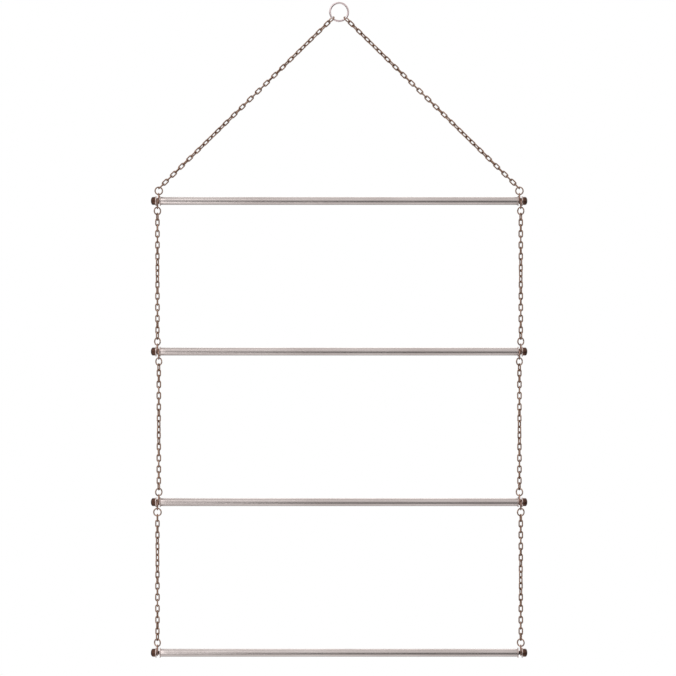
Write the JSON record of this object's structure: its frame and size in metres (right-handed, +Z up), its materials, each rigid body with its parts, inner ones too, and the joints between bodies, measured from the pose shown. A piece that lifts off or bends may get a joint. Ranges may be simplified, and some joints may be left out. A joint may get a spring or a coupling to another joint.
{
  "type": "hanging rail ladder",
  "caption": "Hanging ladder of level tube rails joined by fine chains, hung from one ring on a nail or hook, for towels, scarves or display.",
  "frame": {"origin": "inner top of the hanging ring, where its wire rests on the nail or hook", "axes": "+Z up, +X along the rails to the right as seen from the front, +Y back towards the wall"},
  "size_m": [0.4754, 0.0146, 0.8283],
  "materials": {
    "ring_steel": "satin nickel plated steel wire",
    "chain_steel": "antique copper toned chain wire",
    "jump_steel": "antique copper toned wire",
    "eye_steel": "antique copper toned wire",
    "tube_nickel": "brushed satin nickel",
    "knob_bronze": "oil rubbed bronze, semi gloss",
    "washer_nickel": "polished warm nickel",
    "insert_steel": "plain turned steel"
  },
  "bodies": {
    "hanging_ring": {"hanging_ring": "ring_steel"},
    "top_rings": {"left_sling_top_ring": "jump_steel", "right_sling_top_ring": "jump_steel"},
    "slings": {"left_sling_chain": "chain_steel", "left_sling_jump_ring": "jump_steel", "left_sling_eye_ring": "eye_steel", "right_sling_chain": "chain_steel", "right_sling_jump_ring": "jump_steel", "right_sling_eye_ring": "eye_steel"},
    "rail_1": {"rail_1_tube": "tube_nickel", "rail_1_inserts": "insert_steel", "rail_1_washers": "washer_nickel", "rail_1_left_knob_bolt": "knob_bronze", "rail_1_right_knob_bolt": "knob_bronze"},
    "rail_2": {"rail_2_tube": "tube_nickel", "rail_2_inserts": "insert_steel", "rail_2_washers": "washer_nickel", "rail_2_left_knob_bolt": "knob_bronze", "rail_2_right_knob_bolt": "knob_bronze"},
    "rail_3": {"rail_3_tube": "tube_nickel", "rail_3_inserts": "insert_steel", "rail_3_washers": "washer_nickel", "rail_3_left_knob_bolt": "knob_bronze", "rail_3_right_knob_bolt": "knob_bronze"},
    "rail_4": {"rail_4_tube": "tube_nickel", "rail_4_inserts": "insert_steel", "rail_4_washers": "washer_nickel", "rail_4_left_knob_bolt": "knob_bronze", "rail_4_right_knob_bolt": "knob_bronze"},
    "bay_1_upper_rings": {"bay_1_left_upper_eye_ring": "eye_steel", "bay_1_right_upper_eye_ring": "eye_steel"},
    "bay_1_left_strand": {"bay_1_left_upper_jump_ring": "jump_steel", "bay_1_left_chain": "chain_steel", "bay_1_left_lower_jump_ring": "jump_steel"},
    "bay_1_right_strand": {"bay_1_right_upper_jump_ring": "jump_steel", "bay_1_right_chain": "chain_steel", "bay_1_right_lower_jump_ring": "jump_steel"},
    "bay_1_lower_rings": {"bay_1_left_lower_eye_ring": "eye_steel", "bay_1_right_lower_eye_ring": "eye_steel"},
    "bay_2_upper_rings": {"bay_2_left_upper_eye_ring": "eye_steel", "bay_2_right_upper_eye_ring": "eye_steel"},
    "bay_2_left_strand": {"bay_2_left_upper_jump_ring": "jump_steel", "bay_2_left_chain": "chain_steel", "bay_2_left_lower_jump_ring": "jump_steel"},
    "bay_2_right_strand": {"bay_2_right_upper_jump_ring": "jump_steel", "bay_2_right_chain": "chain_steel", "bay_2_right_lower_jump_ring": "jump_steel"},
    "bay_2_lower_rings": {"bay_2_left_lower_eye_ring": "eye_steel", "bay_2_right_lower_eye_ring": "eye_steel"},
    "bay_3_upper_rings": {"bay_3_left_upper_eye_ring": "eye_steel", "bay_3_right_upper_eye_ring": "eye_steel"},
    "bay_3_left_strand": {"bay_3_left_upper_jump_ring": "jump_steel", "bay_3_left_chain": "chain_steel", "bay_3_left_lower_jump_ring": "jump_steel"},
    "bay_3_right_strand": {"bay_3_right_upper_jump_ring": "jump_steel", "bay_3_right_chain": "chain_steel", "bay_3_right_lower_jump_ring": "jump_steel"},
    "bay_3_lower_rings": {"bay_3_left_lower_eye_ring": "eye_steel", "bay_3_right_lower_eye_ring": "eye_steel"}
  },
  "joints": [
    {"name": "sway_on_ring", "type": "hinge", "parent": "hanging_ring", "child": "top_rings", "pos_m": [0, 0, -0.0102], "axis": [0, 1, 0], "range_deg": [-20, 20]},
    {"name": "swing", "type": "hinge", "parent": "top_rings", "child": "slings", "pos_m": [0, 0, -0.02255], "axis": [1, 0, 0], "range_deg": [-18, 18]},
    {"name": "rail_1_spin", "type": "hinge", "parent": "slings", "child": "rail_1", "pos_m": [0, 0, -0.24885], "axis": [1, 0, 0], "continuous": true},
    {"name": "rail_2_spin", "type": "hinge", "parent": "bay_1_lower_rings", "child": "rail_2", "pos_m": [0, 0, -0.43905], "axis": [1, 0, 0], "continuous": true},
    {"name": "rail_3_spin", "type": "hinge", "parent": "bay_2_lower_rings", "child": "rail_3", "pos_m": [0, 0, -0.62925], "axis": [1, 0, 0], "continuous": true},
    {"name": "rail_4_spin", "type": "hinge", "parent": "bay_3_lower_rings", "child": "rail_4", "pos_m": [0, 0, -0.81945], "axis": [1, 0, 0], "continuous": true},
    {"name": "bay_1_fold", "type": "hinge", "parent": "slings", "child": "bay_1_upper_rings", "pos_m": [0, 0, -0.24885], "axis": [-1, 0, 0], "range_deg": [-90, 90]},
    {"name": "bay_1_left_sway", "type": "hinge", "parent": "bay_1_upper_rings", "child": "bay_1_left_strand", "pos_m": [-0.22945, 0, -0.2586], "axis": [0, 1, 0], "range_deg": [-25, 25]},
    {"name": "bay_1_right_sway", "type": "hinge", "parent": "bay_1_upper_rings", "child": "bay_1_right_strand", "pos_m": [0.22945, 0, -0.2586], "axis": [0, 1, 0], "range_deg": [-25, 25]},
    {"name": "bay_1_level", "type": "hinge", "parent": "bay_1_left_strand", "child": "bay_1_lower_rings", "pos_m": [-0.22945, 0, -0.4293], "axis": [0, 1, 0], "range_deg": [-25, 25]},
    {"name": "bay_2_fold", "type": "hinge", "parent": "bay_1_lower_rings", "child": "bay_2_upper_rings", "pos_m": [0, 0, -0.43905], "axis": [1, 0, 0], "range_deg": [-90, 90]},
    {"name": "bay_2_left_sway", "type": "hinge", "parent": "bay_2_upper_rings", "child": "bay_2_left_strand", "pos_m": [-0.22775, 0, -0.4488], "axis": [0, 1, 0], "range_deg": [-25, 25]},
    {"name": "bay_2_right_sway", "type": "hinge", "parent": "bay_2_upper_rings", "child": "bay_2_right_strand", "pos_m": [0.22775, 0, -0.4488], "axis": [0, 1, 0], "range_deg": [-25, 25]},
    {"name": "bay_2_level", "type": "hinge", "parent": "bay_2_left_strand", "child": "bay_2_lower_rings", "pos_m": [-0.22775, 0, -0.6195], "axis": [0, 1, 0], "range_deg": [-25, 25]},
    {"name": "bay_3_fold", "type": "hinge", "parent": "bay_2_lower_rings", "child": "bay_3_upper_rings", "pos_m": [0, 0, -0.62925], "axis": [-1, 0, 0], "range_deg": [-90, 90]},
    {"name": "bay_3_left_sway", "type": "hinge", "parent": "bay_3_upper_rings", "child": "bay_3_left_strand", "pos_m": [-0.22945, 0, -0.639], "axis": [0, 1, 0], "range_deg": [-25, 25]},
    {"name": "bay_3_right_sway", "type": "hinge", "parent": "bay_3_upper_rings", "child": "bay_3_right_strand", "pos_m": [0.22945, 0, -0.639], "axis": [0, 1, 0], "range_deg": [-25, 25]},
    {"name": "bay_3_level", "type": "hinge", "parent": "bay_3_left_strand", "child": "bay_3_lower_rings", "pos_m": [-0.22945, 0, -0.8097], "axis": [0, 1, 0], "range_deg": [-25, 25]}
  ],
  "couplings": [
    {"joint": "bay_1_right_sway", "follows": "bay_1_left_sway", "ratio": 1},
    {"joint": "bay_1_level", "follows": "bay_1_left_sway", "ratio": -1},
    {"joint": "bay_2_right_sway", "follows": "bay_2_left_sway", "ratio": 1},
    {"joint": "bay_2_level", "follows": "bay_2_left_sway", "ratio": -1},
    {"joint": "bay_3_right_sway", "follows": "bay_3_left_sway", "ratio": 1},
    {"joint": "bay_3_level", "follows": "bay_3_left_sway", "ratio": -1}
  ]
}
